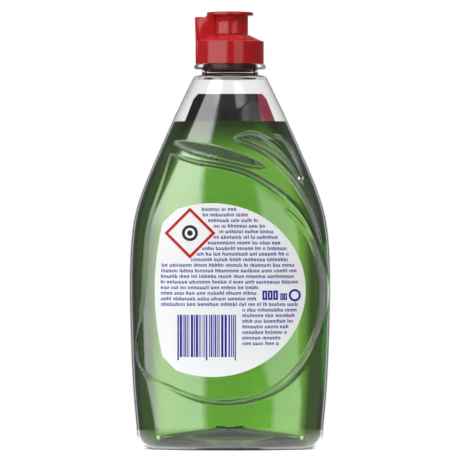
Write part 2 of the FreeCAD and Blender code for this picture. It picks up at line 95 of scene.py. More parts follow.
# The liquid's surface: how far its rim climbs the wall, and (inset, drop from the rim) of the rings in it
LIQUID_RIM = 0.3
LIQUID_SURFACE = ((0.5, 0.12), (1.2, 0.22), (2.4, 0.3), (8.0, 0.3))

# Swooshes embossed in the back wall as (across, height), each with its half width
RIM_POINTS = (
    (-25.5, 126.5), (-18.1, 123.6), (-4.6, 120.9), (6.3, 117.9), (17.1, 111.9), (28.0, 102.2), (35.8, 88.0),
    (39.9, 70.5), (38.0, 53.0), (28.0, 33.8), (19.9, 26.7), (7.7, 22.0), (-4.6, 20.8), (-17.0, 23.2),
    (-29.0, 28.6))
PANEL_LEFT_POINTS = ((-29.0, 28.6), (-35.0, 31.0), (-37.4, 64.1), (-34.6, 98.0), (-29.5, 113.5), (-25.5, 126.5))
SWOOSHES = (
    (RIM_POINTS, 1.1),
    (((1.4, 132.5), (11.7, 128.2), (20.4, 122.0), (28.0, 113.5), (35.0, 101.0), (39.2, 86.0)), 1.0),
    (((1.6, 132.9), (9.0, 134.0), (16.5, 130.8), (24.5, 123.2), (31.5, 111.5)), 1.0),
    (((18.3, 134.2), (22.6, 132.2), (26.8, 126.5), (31.0, 114.5)), 0.8),
    (((23.0, 103.4), (30.5, 96.0), (36.4, 85.6), (38.2, 76.6)), 0.5))
LEAF_POINTS = ((-24.5, 131.8), (-14.5, 128.8), (-4.6, 126.6), (5.5, 123.7), (15.6, 120.4))
LEAF_HALF_WIDTH = 2.7
LEAF_RISE = 1.5              # height of its lower edge to the ridges'
LEAF_END = (1.2, 0.35)       # place and width of the step at its lower edge, to its half width
LEAF_TIP = 0.7               # share of the half width under which its height falls
SWOOSH_EDGE = 1.1            # foot of a flank, to the half width
SWOOSH_TIP = 0.6             # share of the half width under which a ridge's height falls
SWOOSH_BACK = 2.2            # width of a ridge's gentle outer flank to its steep one
SWOOSH_SHADE = 2.0           # how much steeper the ridges are shaded than they stand
PANEL_DEPTH = 0.45
PANEL_STEP = 0.8

# Films and prints on the wall: the film's gap to it, both thicknesses, and the steps of their meshes
FILM_SEAT = 0.02
FILM = 0.1
PRINT = 0.03
SHEET_STEP = 2.5
PATCH_STEP = 3.0

# Back label: an ellipse on the right, a long arc on the left. Blocks on it are (left, right, low, high)
LABEL_CENTRE = (-7.7, 68.3)
LABEL_HALF = (40.0, 37.0)
LABEL_LEFT_X = -32.1
LABEL_LEFT_R = 121.6
LABEL_CORNER = 5.5
ROW_PITCH = 2.38
STROKE_HEIGHT = 1.15
STROKE_WIDTH = 0.36
# The next four are shares of STROKE_HEIGHT
STROKE_SPANS = (0.0, 0.5, 0.55, 0.6)
STROKE_TALLS = (1.0, 1.0, 1.0, 1.35)
STROKE_GAP = 0.26
CLUSTER_GAP = 0.55
CLUSTER_SIZE = (2, 9)            # fewest and most uprights, or pairs of them
ROW_MARGINS = (2.6, 2.8, 3.3)    # to the film's left, right and top edges
ROW_TO_DIAMOND = 1.6
ROW_TO_BLOCK = 1.5
SHORTEST_ROW = 4.0
TOP_ROWS_LEFT = -12.0
SIDE_COLUMN = (5.3, 29.8, 43.6, 59.4)
DIAMOND = (-17.06, 92.55)
DIAMOND_REACH = 10.9
DIAMOND_BAND = 1.7
ICON_RING = (3.4, 2.2)
ICON_DISC = (1.2, 0.02)
BARS = (-22.4, 2.5, 39.8, 57.8)
BAR_WIDTHS = (0.33, 0.45, 0.66, 0.99)
BAR_GAPS = (0.33, 0.33, 0.45, 0.66)
LONG_BAR_DROP = 1.4
MARKS = (13.8, 24.2, 64.1, 68.1)
# Bold open blocks as (across, width, height)
MARK_BLOCKS = ((0.0, 2.0, 4.0), (2.3, 2.0, 4.0), (4.6, 2.0, 4.0), (7.6, 1.4, 2.8), (9.1, 1.4, 2.8))
ROUND_MARK = (27.6, 66.1)
ROUND_MARK_RING = (2.6, 1.7)

# Front label as (across, height): the film, the fields printed on it, and a dark sheet of painted shade under
# the head
FRONT_OUTLINE = ((-29.5, 42.0), (-29.5, 118.0), (-15.4, 153.3), (15.4, 153.3), (29.5, 118.0), (29.5, 42.0),
                 (20.0, 36.8), (8.0, 32.9), (0.0, 32.0), (-8.0, 32.9), (-20.0, 36.8))
FRONT_HEAD = ((-20.2, 140.2), (-16.2, 150.6), (-14.2, 152.9), (12.0, 152.9), (13.6, 140.2))
# A dark sheet of painted shade for the shade in the liquid under the head, fading out between two heights
FRONT_PAINTED_SHADE = ((-20.3, 140.1), (20.3, 140.1), (27.0, 124.0), (-27.0, 124.0))
FRONT_SHADE_FADE = (124.5, 140.5)
FRONT_CORNER = ((13.6, 140.2), (12.0, 152.9), (14.2, 152.9), (16.2, 150.6), (20.2, 140.2))
PLATE_CENTRE = (LABEL_CENTRE[0] + 6.0, LABEL_CENTRE[1] + 4.0)
PLATE_HALF = (20.0, 14.0)
PLATE_RIM = ((20.9, 14.9), (20.1, 14.1))

# Windows of light all round, in degrees (low, high, softness): two softboxes, a ring overhead, and white
# behind and above. A turn is 0 at the camera and grows to the picture's right, a rise is 0 at the horizon
LEFT_TURN = (-82.0, 90.0, 3.0)
LEFT_INNER_TURN = (-90.0, -10.0, 3.0)
LEFT_RISE = (-14.0, 62.0, 2.0)
LEFT_TOP_RISE = (9.0, 90.0, 3.0)
LEFT_TOP_GAIN = 0.5
LEFT_SLANT_UP = 1.15         # degrees of turn for each degree of rise over the horizon
LEFT_SLANT_INNER = 0.042     # the same for each square degree
LEFT_SLANT_DOWN = 4.0        # the same for each degree under LOW_RISE
LOW_RISE = -5.0
RIGHT_TURN = (14.0, 45.0, 3.0)
RIGHT_RISE = (-14.0, 12.0, 2.0)
RIGHT_SLANT = (3.0, 2.5)     # most degrees under LOW_RISE that count, and turn for each
OVERHEAD_TURN = (-90.0, 140.0, 8.0)
OVERHEAD_RISE = (38.0, 62.0, 5.0)
BEHIND_TURN = (161.0, 190.0, 5.0)
BEHIND_RISE = (-12.0, 18.0, 5.0)
ABOVE_RISE = (66.0, 100.0, 8.0)
# The lamp behind and the floor, in metres
REAR_BOX_PLACE = (0.3, 1.2, 0.8)
REAR_BOX_SIZE = 0.8
FLOOR_RADIUS = 0.075
FLOOR_DROP = 0.0002
# Half width and half depth of the painted shadow under the bottle, where the floor does not glow
FLOOR_SHADE = (0.036, 0.0155)
# In squares of that size: where the white floor starts, and where it ends for glass and gloss
FLOOR_WHITE = (1.0, 1000.0, 0.3)
FLOOR_FAR = (2.6, 1000.0, 1.6)
FLOOR_GLOW = 0.65

# Noise values at the two ends of a finish's range
NOISE_SPAN = (0.3, 0.7)


def spline(knots, values, at):
    """Natural cubic spline through values at the knots, read at the places at."""
    gaps = np.diff(knots)
    rows = len(knots)
    system = np.eye(rows)
    bend = np.zeros(values.shape)
    slopes = (np.diff(values, axis=0).T / gaps).T
    for i in range(1, rows - 1):
        system[i, i - 1:i + 2] = gaps[i - 1], 2 * (gaps[i - 1] + gaps[i]), gaps[i]
        bend[i] = 6 * (slopes[i] - slopes[i - 1])
    bend = np.linalg.solve(system, bend)
    cell = np.clip(np.searchsorted(knots, at) - 1, 0, rows - 2)
    gap = gaps[cell]
    left, right = at - knots[cell], knots[cell + 1] - at
    shape = (-1, *(1,) * (values.ndim - 1))
    gap, left, right = (v.reshape(shape) for v in (gap, left, right))
    cubic = (bend[cell] * right ** 3 + bend[cell + 1] * left ** 3) / (6 * gap)
    low = (values[cell] / gap - bend[cell] * gap / 6) * right
    high = (values[cell + 1] / gap - bend[cell + 1] * gap / 6) * left
    return cubic + low + high


def curve_through(points, count):
    """Evenly read points on a smooth curve through a few."""
    points = np.array(points, float)
    knots = np.concatenate([[0], np.cumsum(np.linalg.norm(np.diff(points, axis=0), axis=1))])
    return spline(knots, points, np.linspace(0, knots[-1], count))


def smooth_step(value):
    """Soft rise from 0 to 1 as the value does."""
    value = np.clip(value, 0, 1)
    return value * value * (3 - 2 * value)


def body_size(z):
    """Half width, half depth and squareness of the body at heights z."""
    rows = np.array(BODY_ROWS)
    return spline(rows[:, 0], rows[:, 1:], np.atleast_1d(z)).T


def distance_to(line, x, z):
    """Distance of each point from a polyline, share along it, and side: 1 is left of the line, -1 right."""
    nearest = np.full(x.shape, np.inf)
    along, side = np.zeros(x.shape), np.ones(x.shape)
    for i, (start, end) in enumerate(zip(line[:-1], line[1:])):
        step, dx, dz = end - start, x - start[0], z - start[1]
        share = np.clip((dx * step[0] + dz * step[1]) / (step @ step), 0, 1)
        gap = np.hypot(dx - share * step[0], dz - share * step[1])
        closer = gap < nearest
        nearest = np.where(closer, gap, nearest)
        along = np.where(closer, (i + share) / (len(line) - 1), along)
        side = np.where(closer, np.where(step[0] * dz - step[1] * dx > 0, 1, -1), side)
    return nearest, along, side


def inside_of(line, x, z):
    """True where (x, z) lies inside the closed polyline."""
    inside = np.zeros(x.shape, bool)
    for (x0, z0), (x1, z1) in zip(line, np.roll(line, -1, axis=0)):
        crosses = (z0 > z) != (z1 > z)
        rise = z1 - z0 if z1 != z0 else 1.0
        inside ^= crosses & (x < x0 + (z - z0) * (x1 - x0) / rise)
    return inside


def relief_at(x, z, ridge_height):
    """Height of the back wall's swooshes over the oval body, with the label's recessed panel."""
    rim = curve_through(RIM_POINTS, 90)
    panel = np.concatenate([rim, curve_through(PANEL_LEFT_POINTS, 40)[1:-1]])
    edge = distance_to(np.vstack([panel, panel[:1]]), x, z)[0]
    inward = np.where(inside_of(panel, x, z), edge, -edge)
    height = -PANEL_DEPTH * smooth_step(inward / PANEL_STEP + 0.5)
    ridges = np.zeros(x.shape)
    for points, half_width in SWOOSHES:
        gap, along, side = distance_to(curve_through(points, 60), x, z)
        reach = tip_width(along, half_width)
        flank = np.where(side > 0, SWOOSH_BACK, 1.0) * reach
        tip = smooth_step(reach / (SWOOSH_TIP * half_width))
        ridges = np.maximum(ridges, smooth_step(SWOOSH_EDGE - gap / flank) * tip)
    gap, along, side = distance_to(curve_through(LEAF_POINTS, 60), x, z)
    reach = tip_width(along, LEAF_HALF_WIDTH)
    across = -side * gap / reach
    wedge = np.clip((across + 1) / 2, 0, 1) * smooth_step((LEAF_END[0] - across) / LEAF_END[1])
    wedge *= LEAF_RISE * smooth_step(reach / (LEAF_TIP * LEAF_HALF_WIDTH)) * (along > 0) * (along < 1)
    return height + ridge_height * np.maximum(ridges, wedge)


def tip_width(along, half_width):
    """Half width of a crescent that comes to a tip at both ends."""
    return half_width * np.sin(np.pi * np.clip(along, 0.002, 0.998)) ** 0.6 + 0.05


def column_angles(back, front):
    """Angles of the body's columns, evenly spaced along the belly, back half first."""
    dense = np.linspace(math.pi, 3 * math.pi, 4001)
    x, y = oval(dense, *(v[0] for v in body_size(BELLY_Z)))
    arc = np.concatenate([[0], np.cumsum(np.hypot(np.diff(x), np.diff(y)))])
    middle = arc[2000]
    places = np.concatenate([np.linspace(0, middle, back, endpoint=False),
                             np.linspace(middle, arc[-1], front, endpoint=False)])
    return np.interp(places, arc, dense)


def oval(angles, half_width, half_depth, squareness):
    """Points of a superellipse."""
    c, s = np.cos(angles), np.sin(angles)
    power = 2 / squareness
    return np.sign(c) * np.abs(c) ** power * half_width, np.sign(s) * np.abs(s) ** power * half_depth


def oval_ring(angles, half_width, half_depth, squareness, z):
    """The same as points at height z."""
    x, y = oval(angles, half_width, half_depth, squareness)
    return np.column_stack([x, y, np.full(len(angles), z)])


def body_ring(angles, z, inset, ridge_height=0.0):
    """Ring of the body's skin at height z, moved in by inset and lifted by the relief on the back wall."""
    half_width, half_depth, squareness = (v[0] for v in body_size(z))
    ring = oval_ring(angles, half_width - inset, half_depth - inset, squareness, z)
    if ridge_height > 0:
        back = ring[:, 1] < 0
        lift = np.where(back, relief_at(ring[:, 0], ring[:, 2], ridge_height), 0)
        for axis, half in enumerate((half_width - inset, half_depth - inset)):
            ring[:, axis] *= (half + lift) / half
    return ring


def rounded_ends(inset, top):
    """(height, extra inset) of the rounded foot and shoulder edge."""
    foot, shoulder = BASE_EDGE_R - inset, max(SHOULDER_EDGE_R - inset, LEAST_EDGE_R)
    turns = np.linspace(0, math.pi / 2, 13)
    low = [(inset + foot * (1 - math.sin(t)), foot * (1 - math.cos(t))) for t in turns[::-1]]
    high = [(top - shoulder * (1 - math.sin(t)), shoulder * (1 - math.cos(t))) for t in turns[::2]]
    return low, high


def push_up_rings(angles, grow):
    """Rings of the hollow base."""
    return [oval_ring(angles, a + grow, b + grow, 2.0, z + grow) for a, b, z in PUSH_UP]


def closed_skin(name, low_tip, rings, high_tip):
    """A closed mesh from rings of as many points each, with a fan at both ends to a tip on the axis."""
    columns = len(rings[0])
    points = np.vstack([(0, 0, low_tip), *rings, (0, 0, high_tip)]) * MM
    this = np.arange(columns)
    after = np.roll(this, -1)
    faces = [(0, 1 + b, 1 + a) for a, b in zip(this, after)]
    for low in range(1, 1 + (len(rings) - 1) * columns, columns):
        high = low + columns
        faces += zip(low + this, low + after, high + after, high + this)
    faces += [(high + a, high + b, len(points) - 1) for a, b in zip(this, after)]
    return mesh_object(name, points, faces)


def shade_as(piece, twin, first, last):
    """Gives the points first to last of a piece the normals of its twin with stronger relief."""
    normals = np.zeros(3 * len(piece.data.vertices))
    twin.data.vertex_normals.foreach_get("vector", normals)
    normals = normals.reshape(-1, 3)
    normals[:first] = normals[last:] = 0
    piece.data.normals_split_custom_set_from_vertices(normals)
    bpy.data.objects.remove(twin)


def mesh_object(name, points, faces):
    """A smooth object from points in metres, with its sharp edges kept."""
    mesh = bpy.data.meshes.new(name)
    mesh.from_pydata([tuple(map(float, p)) for p in points], [], [tuple(map(int, f)) for f in faces])
    mesh.validate()
    mesh.shade_smooth()
    mesh.set_sharp_from_angle(angle=math.radians(40))
    piece = bpy.data.objects.new(name, mesh)
    bpy.context.scene.collection.objects.link(piece)
    return piece


def wall_y(x, z, out, side):
    """Y of the wall's surface under a flat place (x, z), lifted by out. Side -1 is the back, 1 the front."""
    half_width, half_depth, squareness = body_size(z)
    seat = out - PANEL_DEPTH if side < 0 else out
    across = np.clip(np.abs(x) / (half_width + seat), 0, 0.999)
    return side * (half_depth + seat) * (1 - across ** squareness) ** (1 / squareness)


def filled(outline, step):
    """Triangles that fill a flat outline with points no further apart than step."""
    outline = np.array(outline, float)
    edge = []
    for start, end in zip(outline, np.roll(outline, -1, axis=0)):
        parts = max(1, math.ceil(np.linalg.norm(end - start) / step))
        edge += [start + (end - start) * i / parts for i in range(parts)]
    edge = np.array(edge)
    low, high = edge.min(axis=0), edge.max(axis=0)
    grid_x, grid_z = (g.ravel() for g in np.meshgrid(
        np.arange(low[0] + step / 2, high[0], step), np.arange(low[1] + step / 2, high[1], step)))
    gap = distance_to(np.vstack([edge, edge[:1]]), grid_x, grid_z)[0]
    keep = inside_of(edge, grid_x, grid_z) & (gap > step * 0.4)
    flat = np.vstack([edge, np.column_stack([grid_x[keep], grid_z[keep]])])
    rim = [(i, (i + 1) % len(edge)) for i in range(len(edge))]
    found = delaunay_2d_cdt([Vector(p) for p in flat], rim, [], 1, 1e-5)
    return np.array([tuple(p) for p in found[0]]), [tuple(f) for f in found[2]]


def slab(flat, triangles, out, thickness, side):
    """Points and faces of a thin closed sheet laid on the wall from flat triangles."""
    def layer(height):
        return np.column_stack([flat[:, 0], wall_y(flat[:, 0], flat[:, 1], height, side), flat[:, 1]])
    points = np.vstack([layer(out + thickness), layer(out)]) * MM
    count = len(flat)
    faces, edges = [], {}
    for a, b, c in triangles:
        turn = np.cross(flat[b] - flat[a], flat[c] - flat[a])
        a, b, c = (a, b, c) if (turn > 0) == (side < 0) else (a, c, b)
        faces += [(a, b, c), (c + count, b + count, a + count)]
        edges.update(dict.fromkeys(((a, b), (b, c), (c, a))))
    faces += [(b, a, a + count, b + count) for a, b in edges if (b, a) not in edges]
    return points, faces


def add_second_finish(piece, finish, chosen):
    """Gives another finish to the faces that the list chosen has True for."""
    piece.data.materials.append(finish)
    for face, choice in zip(piece.data.polygons, chosen):
        face.material_index = int(choice)


def sheet_on_wall(name, outline, out, thickness, side, finish):
    """A film, printed field or sheet of painted shade, with its outline as (across, height)."""
    piece = mesh_object(name, *slab(*filled(outline, SHEET_STEP), out, thickness, side))
    piece.data.materials.append(finish)
    return piece


def prints_on_film(name, patches, side, finish):
    """One mesh of many small four-sided prints. Each patch is its four (across, height) corners, in turn."""
    points, faces = [], []
    for i, quad in enumerate(np.array(patches, float)):
        part, sides = slab(quad, [(0, 1, 2), (0, 2, 3)], FILM_SEAT + FILM, PRINT, side)
        faces += [tuple(8 * i + f for f in face) for face in sides]
        points.append(part)
    piece = mesh_object(name, np.vstack(points), faces)
    piece.data.materials.append(finish)
    return piece


def block(x0, x1, z0, z1):
    """Patches that fill an upright rectangle, small enough to follow the wall."""
    xs, zs = (np.linspace(low, high, max(1, math.ceil((high - low) / PATCH_STEP)) + 1)
              for low, high in ((x0, x1), (z0, z1)))
    return [((a, c), (b, c), (b, d), (a, d))
            for a, b in zip(xs[:-1], xs[1:]) for c, d in zip(zs[:-1], zs[1:])]


def band(outer, inner):
    """Patches between two closed outlines with as many points."""
    return list(zip(outer, np.roll(outer, -1, axis=0), np.roll(inner, -1, axis=0), inner))


def ellipse_points(centre, half_width, half_height):
    turns = np.linspace(0, 2 * math.pi, 40, endpoint=False)
    return np.column_stack([centre[0] + half_width * np.cos(turns), centre[1] + half_height * np.sin(turns)])


def round_band(centre, outer, inner):
    """Patches of a flat ring between two radii."""
    return band(ellipse_points(centre, outer, outer), ellipse_points(centre, inner, inner))


def set_inputs(node, **values):
    """Sets inputs of a node by their names, with _ for a space."""
    for name, value in values.items():
        node.inputs[name.replace("_", " ")].default_value = value
    return node


def add_node(tree, kind, **values):
    return set_inputs(tree.nodes.new(kind), **values)


class Finish:
    """A node material built up in a few words."""

    def __init__(self, name):
        self.material = bpy.data.materials.new(name)
        self.material.use_nodes = True
        self.tree = self.material.node_tree
        self.link = self.tree.links.new
        self.shader = self.tree.nodes["Principled BSDF"]
        self.place = add_node(self.tree, "ShaderNodeTexCoord").outputs["Object"]

    def set(self, **values):
        """Sets the shader's constant inputs."""
        set_inputs(self.shader, **values)
        return self

    def noise(self, scale, detail=3.0, stretch=(1, 1, 1)):
        """Noise over the piece in its own metres, drawn out along an axis where stretch is under 1."""
        mapping = add_node(self.tree, "ShaderNodeMapping", Scale=stretch)
        noise = add_node(self.tree, "ShaderNodeTexNoise", Scale=scale, Detail=detail)
        self.link(self.place, mapping.inputs["Vector"])
        self.link(mapping.outputs["Vector"], noise.inputs["Vector"])
        return noise.outputs["Fac"]

    def vary(self, socket, noise, low, high):
        """Lets a number on the shader run from low to high with the noise."""
        spread = add_node(self.tree, "ShaderNodeMapRange", From_Min=NOISE_SPAN[0], From_Max=NOISE_SPAN[1],
                          To_Min=low, To_Max=high)
        self.link(noise, spread.inputs["Value"])
        self.link(spread.outputs["Result"], self.shader.inputs[socket])
        return self

    def tint(self, noise, dark, light):
        """Lets the base colour run between two colours with the noise."""
        ramp = add_node(self.tree, "ShaderNodeValToRGB")
        for stop, place, colour in zip(ramp.color_ramp.elements, NOISE_SPAN, (dark, light)):
            stop.position = place
            stop.color = (*colour, 1)
        self.link(noise, ramp.inputs["Fac"])
        self.link(ramp.outputs["Color"], self.shader.inputs["Base Color"])
        return self

    def bump(self, noise, strength, depth):
        """Roughens the surface with the noise, as deep as depth."""
        bump = add_node(self.tree, "ShaderNodeBump", Strength=strength, Distance=depth)
        self.link(noise, bump.inputs["Height"])
        self.link(bump.outputs["Normal"], self.shader.inputs["Normal"])
        return self

    def absorb(self, colour, density):
        """Fills the piece with a clear colour."""
        volume = add_node(self.tree, "ShaderNodeVolumeAbsorption", Color=(*colour, 1), Density=density)
        self.link(volume.outputs["Volume"], self.tree.nodes["Material Output"].inputs["Volume"])
        return self


def scaled(colour, share):
    """A colour made darker or lighter by a share."""
    return tuple(min(c * share, 1.0) for c in colour)


def clear_wall_finish(name, ior):
    """Clear plastic with the faint waves of a blown wall."""
    finish = Finish(name)
    finish.set(Base_Color=(1, 1, 1, 1), IOR=ior, Transmission_Weight=1.0)
    finish.vary("Roughness", finish.noise(60.0), 0.0, 0.02)
    return finish.bump(finish.noise(45.0, 1.0, (1, 1, 0.4)), 0.06, 0.0004).material


def liquid_finish(settings):
    finish = Finish("green dish soap")
    finish.set(Base_Color=(1, 1, 1, 1), IOR=settings.liquid_ior, Transmission_Weight=1.0)
    finish.vary("Roughness", finish.noise(80.0), 0.0, 0.015)
    return finish.absorb(settings.liquid_colour, settings.liquid_density).material


def film_finish(name, colour, glow=0.0):
    """Opaque film with a soft gloss, which may give off light."""
    finish = Finish(name).set(Coat_Weight=0.15, Coat_Roughness=0.25)
    finish.set(Emission_Color=(1, 1, 1, 1), Emission_Strength=glow)
    finish.tint(finish.noise(30.0), scaled(colour, 0.98), colour)
    finish.vary("Roughness", finish.noise(400.0), 0.34, 0.44)
    return finish.bump(finish.noise(900.0), 0.05, 0.00003).material


def clear_film_finish():
    finish = Finish("clear label film").set(Base_Color=(0.5, 0.5, 0.5, 1), Alpha=0.03, IOR=1.45)
    finish.vary("Roughness", finish.noise(300.0), 0.12, 0.2)
    return finish.material


def ink_finish(name, colour):
    finish = Finish(name).set(Specular_IOR_Level=0.2)
    finish.tint(finish.noise(700.0), scaled(colour, 0.85), scaled(colour, 1.1))
    finish.vary("Roughness", finish.noise(500.0), 0.4, 0.55)
    return finish.material


def see_through_ink_finish(colour):
    """Ink that glows in its colour when there is light behind it."""
    finish = Finish("dark red ink").set(Transmission_Weight=1.0, IOR=1.3)
    finish.tint(finish.noise(700.0), scaled(colour, 0.95), colour)
    finish.vary("Roughness", finish.noise(500.0), 0.3, 0.4)
    return finish.material


def painted_shade_finish(colour, low, high):
    """Painted shade: a dark sheet that is nearly full at the height high and gone at low."""
    finish = Finish("fading painted shade").set(Base_Color=(*colour, 1), Specular_IOR_Level=0.1)
    finish.vary("Roughness", finish.noise(500.0), 0.5, 0.6)
    split = add_node(finish.tree, "ShaderNodeSeparateXYZ")
    fade = add_node(finish.tree, "ShaderNodeMapRange", From_Min=low * MM, From_Max=high * MM, To_Max=0.8)
    finish.link(finish.place, split.inputs["Vector"])
    finish.link(split.outputs["Z"], fade.inputs["Value"])
    finish.link(fade.outputs["Result"], finish.shader.inputs["Alpha"])
    return finish.material


def closure_finish(name, colour, roughness):
    finish = Finish(name).set(IOR=1.5)
    finish.tint(finish.noise(120.0), scaled(colour, 0.94), colour)
    finish.vary("Roughness", finish.noise(350.0), roughness, roughness + 0.08)
    return finish.bump(finish.noise(1600.0), 0.04, 0.00003).material


def metres(name, description, default):
    return FloatProperty(name=name, description=description, default=default, min=0, unit="LENGTH", precision=4)


def number(name, description, default):
    return FloatProperty(name=name, description=description, default=default, min=0)


def rgb(name, description, default):
    return FloatVectorProperty(name=name, description=description, default=default, subtype="COLOR", size=3,
                               min=0, max=1)


class BottleSettings(bpy.types.PropertyGroup):
    """Sizes and clearness of the bottle and its liquid"""
    wall: metres("Wall", "Thickness of the clear wall as it shows at the edges", 0.00075)
    ridge_height: metres("Swooshes", "Height of the embossed swooshes", 0.0011)
    wall_ior: number("Wall IOR", "Refraction of the clear wall", 1.57)
    neck_ior: number("Neck IOR", "Refraction of the neck and its ring", 1.12)
    liquid_inset: metres("Liquid inset", "Outside of the bottle to the liquid's edge", 0.0011)
    liquid_ior: number("Liquid IOR", "Refraction of the liquid", 1.37)
    liquid_colour: rgb("Liquid", "Colour that the liquid lets through", (0.439, 0.752, 0.009))
    liquid_density: number("Density", "How strongly the liquid absorbs", 92.0)


class LabelSettings(bpy.types.PropertyGroup):
    """Colours of both labels, and the made-up rows"""
    film_colour: rgb("Film", "White of the back label", (0.95, 0.96, 0.97))
    film_glow: number("Film glow", "Light that the liquid throws on the film's inner side", 0.4)
    ink_colour: rgb("Ink", "Ink of the rows and bars", (0.03, 0.015, 0.34))
    red_colour: rgb("Red", "Red of the diamond", (0.578, 0.007, 0.007))
    head_colour: rgb("Head", "Dark field of the front label", (0.012, 0.012, 0.011))
    corner_colour: rgb("Corner", "Clear field beside the dark one", (0.33, 0.04, 0.08))
    seed: IntProperty(name="Seed", description="Seed of the rows and bars", default=7)


class ClosureSettings(bpy.types.PropertyGroup):
    """Colour and gloss of the cap and its spout"""
    closure_colour: rgb("Closure", "Red of the cap and its spout", (0.5, 0.009, 0.012))
    closure_roughness: number("Roughness", "Gloss of the cap", 0.09)


class StudioSettings(bpy.types.PropertyGroup):
    """Lights and camera"""
    room: number("Room", "Light from the room in general", 0.16)
    left_box: number("Left box", "Light of the large left softbox", 2.2)
    right_box: number("Right box", "Light of the right softbox", 1.2)
    overhead: number("Overhead", "Light of the ring of boxes overhead", 2.1)
    rear_box: number("Rear box", "Watts of the soft lamp behind the bottle", 9.0)
    camera_distance: metres("Camera", "Camera to the bottle's axis", 1.9)
    camera_height: metres("Height", "Height of the level camera", 0.09387)
    frame_width: metres("Frame", "Width of the frame at the bottle's axis", 0.1978)


class SOAP_OT_wall(bpy.types.Operator):
    """Blows the clear bottle with its swooshes, label panel, hollow base and neck"""
    bl_idname = "soap.blow_bottle"
    bl_label = "Blow bottle"

    def execute(self, context):
        settings = context.scene.soap_bottle
        angles = column_angles(*WALL_COLUMNS)
        wall, ridges = settings.wall / MM, settings.ridge_height / MM
        top = BODY_ROWS[-1][0]
        low, high = rounded_ends(0, top)
        rings = push_up_rings(angles, 0)[::-1]
        rings += [body_ring(angles, z, extra) for z, extra in low]
        first = len(rings)
        side = np.arange(low[-1][0] + 0.5, high[0][0] - 0.3, WALL_STEP)
        steep = [body_ring(angles, z, 0, SWOOSH_SHADE * ridges) for z in side]
        rings += [body_ring(angles, z, 0, ridges) for z in side]
        rings += [body_ring(angles, z, extra) for z, extra in high]
        rings += [oval_ring(angles, r, r, 2.0, z) for r, z in NECK]
        low, high = rounded_ends(wall, top - wall)
        rings += [body_ring(angles, z, wall + extra) for z, extra in high[::-1]]
        inside = np.arange(high[0][0] - 2, low[-1][0] + 1, -WALL_INSIDE_STEP)
        rings += [body_ring(angles, z, wall) for z in inside]
        rings += [body_ring(angles, z, wall + extra) for z, extra in low[::-2]]
        rings += push_up_rings(angles, wall)
        for ring in rings:
            beside = (np.abs(ring[:, 0]) - FOOT_CHANNEL_HALF_WIDTH) / FOOT_CHANNEL_SIDE
            lift = FOOT_CHANNEL_RISE * (1 - smooth_step(beside))
            ring[:, 2] += lift * (1 - smooth_step(ring[:, 2] / FOOT_CHANNEL_REACH))
        boss = PUSH_UP[-1][2]
        piece = closed_skin("bottle_wall", boss, rings, boss + wall)
        rings[first:first + len(steep)] = steep
        twin = closed_skin("bottle_twin", boss, rings, boss + wall)
        columns = len(angles)
        shade_as(piece, twin, 1 + first * columns, 1 + (first + len(steep)) * columns)
        piece.data.materials.append(clear_wall_finish("blown clear plastic", settings.wall_ior))
        add_second_finish(piece, clear_wall_finish("clear neck plastic", settings.neck_ior),
                          [face.center.z > NECK_LOW_Z * MM for face in piece.data.polygons])
        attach(piece, "filled_bottle")
        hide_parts("bottle")
        return {"FINISHED"}


class SOAP_OT_liquid(bpy.types.Operator):
    """Pours the green dish soap up to the fill line"""
    bl_idname = "soap.pour_liquid"
    bl_label = "Pour liquid"

    def execute(self, context):
        settings = context.scene.soap_bottle
        angles = column_angles(*LIQUID_COLUMNS)
        inset = settings.liquid_inset / MM
        low, _ = rounded_ends(inset, FILL_Z)
        rings = push_up_rings(angles, inset)[::-1]
        rings += [body_ring(angles, z, inset + extra) for z, extra in low]
        side = np.arange(low[-1][0] + LIQUID_STEP, FILL_Z - 0.4, LIQUID_STEP)
        rings += [body_ring(angles, z, inset) for z in (*side, FILL_Z - 0.2, FILL_Z + LIQUID_RIM)]
        half_width, half_depth, squareness = (v[0] for v in body_size(FILL_Z))
        rings += [oval_ring(angles, half_width - inset - extra, half_depth - inset - extra, squareness,
                            FILL_Z + LIQUID_RIM - drop) for extra, drop in LIQUID_SURFACE]
        piece = closed_skin("green_liquid", PUSH_UP[-1][2] + inset, rings, FILL_Z)
        piece.data.materials.append(liquid_finish(settings))
        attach(piece, "filled_bottle")
        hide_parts("dish_soap")
        return {"FINISHED"}


def label_arc(z):
    """Left edge of the back label along its arc."""
    return LABEL_LEFT_X + LABEL_LEFT_R - np.sqrt(LABEL_LEFT_R ** 2 - (z - LABEL_CENTRE[1]) ** 2)


def label_right(z):
    rise = np.clip(np.abs(z - LABEL_CENTRE[1]) / LABEL_HALF[1], 0, 1)
    return LABEL_CENTRE[0] + LABEL_HALF[0] * np.sqrt(1 - rise ** 2)


def label_left(z):
    return np.maximum(label_arc(z), 2 * LABEL_CENTRE[0] - label_right(z))


def back_label_outline():
    """The D shape, with its two left corners rounded."""
    turns = np.linspace(-2.1, 2.1, 90)
    right = np.column_stack([LABEL_CENTRE[0] + LABEL_HALF[0] * np.cos(turns),
                             LABEL_CENTRE[1] + LABEL_HALF[1] * np.sin(turns)])
    arc_z = LABEL_CENTRE[1] + np.linspace(LABEL_HALF[1], -LABEL_HALF[1], 90)
    left = np.column_stack([label_arc(arc_z), arc_z])
    right = right[right[:, 0] > np.interp(right[:, 1], left[::-1, 1], left[::-1, 0])]
    left = left[np.sum(((left - LABEL_CENTRE) / LABEL_HALF) ** 2, axis=1) < 1]
    cut = []
    for side, other in ((right, left), (left, right)):
        for end in (other[-1], other[0]):
            side = side[np.linalg.norm(side - end, axis=1) > LABEL_CORNER]
        cut.append(side)
    right, left = cut
    top = corner_arc(right[-1], left[0] + (right[-1] - right[-2]), left[0])
    bottom = corner_arc(left[-1], left[-1] + (left[-1] - left[-2]), right[0])
    return np.vstack([right, top, left, bottom])


def corner_arc(start, control, end):
    """Six points of a soft corner from start to end, without the two ends."""
    shares = np.linspace(0, 1, 8)[1:-1, None]
    return (1 - shares) ** 2 * start + 2 * shares * (1 - shares) * control + shares ** 2 * end


